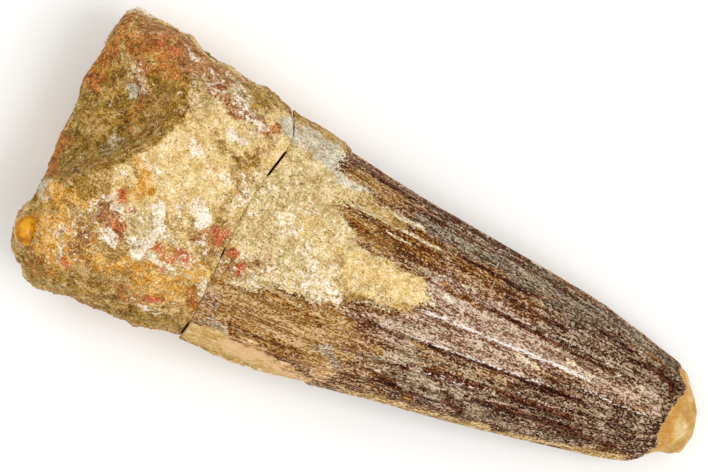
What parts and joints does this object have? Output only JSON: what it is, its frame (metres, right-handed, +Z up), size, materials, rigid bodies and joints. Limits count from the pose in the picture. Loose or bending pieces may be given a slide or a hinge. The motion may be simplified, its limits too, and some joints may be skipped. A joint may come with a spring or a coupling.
{
  "type": "spinosaurus tooth fossil",
  "caption": "Fossil spinosaur tooth lying on its side: a fluted brown crown worn at the tip, a root wrapped in yellow sandstone across a glued break, and an amber quartz pebble.",
  "frame": {"origin": "on the ground, under the middle of the tooth's outline seen from above", "axes": "+X along the tooth from its root to its tip, +Z up"},
  "size_m": [0.088, 0.0372, 0.0264],
  "materials": {
    "fossil_enamel": "fluted brown fossil enamel with a low gloss, sand in its grooves and bare dentine at the tip",
    "sandstone": "matt, grainy yellow sandstone with white, grey and rust-red stains",
    "amber_quartz": "smooth and glossy, slightly cloudy amber quartz"
  },
  "bodies": {
    "root": {"tooth_crown": "fossil_enamel", "tooth_root": "sandstone", "quartz_pebble": "amber_quartz"}
  },
  "joints": []
}
